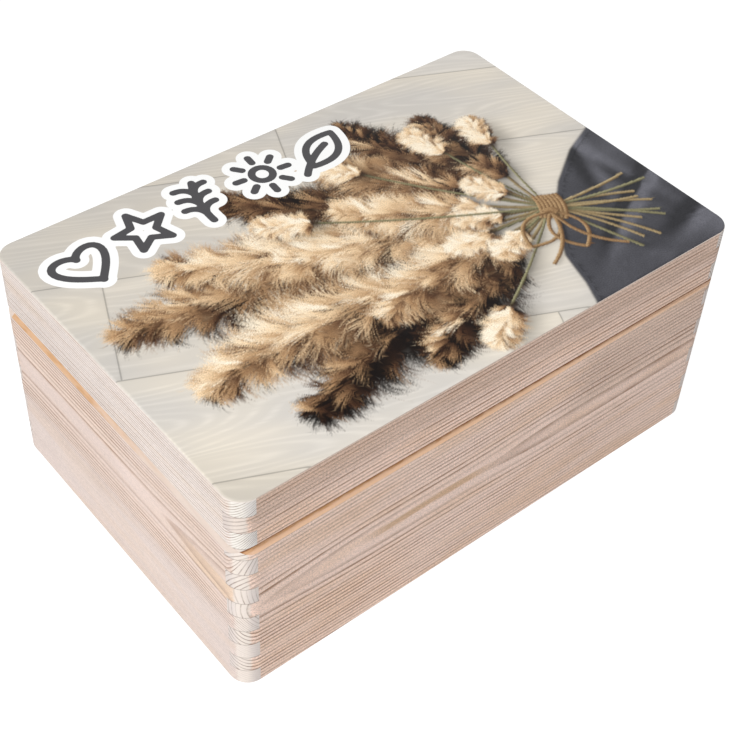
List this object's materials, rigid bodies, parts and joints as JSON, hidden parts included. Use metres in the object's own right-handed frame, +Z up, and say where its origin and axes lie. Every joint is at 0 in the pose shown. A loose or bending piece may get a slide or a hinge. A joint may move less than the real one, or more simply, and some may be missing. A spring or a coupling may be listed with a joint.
{
  "type": "wooden keepsake box",
  "caption": "Finger-jointed pine box with rounded corners, a grip groove at the seam, a hinged lid with a printed top and room for papers and keepsakes.",
  "frame": {"origin": "on the ground, under the middle of the closed box", "axes": "+X along the box to the right, -Y the front, +Y the back where the hinges are, +Z up"},
  "size_m": [0.3, 0.198, 0.13],
  "materials": {
    "pine_long_boards": "sanded, unvarnished pine, long grain with brown growth lines",
    "pine_short_boards": "sanded, unvarnished pale pine",
    "plywood": "sanded plywood, printed on the lid's upper side",
    "print_ink": "matt printed ink film",
    "hinge_brass": "plain rolled brass",
    "pin_steel": "drawn steel",
    "screw_brass": "turned brass"
  },
  "bodies": {
    "base": {"base_front_board": "pine_long_boards", "base_back_board": "pine_long_boards", "base_left_board": "pine_short_boards", "base_right_board": "pine_short_boards", "base_bottom_panel": "plywood", "left_hinge_base_leaf": "hinge_brass", "left_hinge_pin": "pin_steel", "left_hinge_base_screws": "screw_brass", "right_hinge_base_leaf": "hinge_brass", "right_hinge_pin": "pin_steel", "right_hinge_base_screws": "screw_brass"},
    "lid": {"lid_front_board": "pine_long_boards", "lid_back_board": "pine_long_boards", "lid_left_board": "pine_short_boards", "lid_right_board": "pine_short_boards", "lid_top_panel": "plywood", "left_hinge_lid_leaf": "hinge_brass", "left_hinge_lid_screws": "screw_brass", "right_hinge_lid_leaf": "hinge_brass", "right_hinge_lid_screws": "screw_brass"}
  },
  "joints": [
    {"name": "lid_hinge", "type": "hinge", "parent": "base", "child": "lid", "pos_m": [0, 0.097, 0.0975], "axis": [-1, 0, 0], "range_deg": [0, 108]}
  ]
}
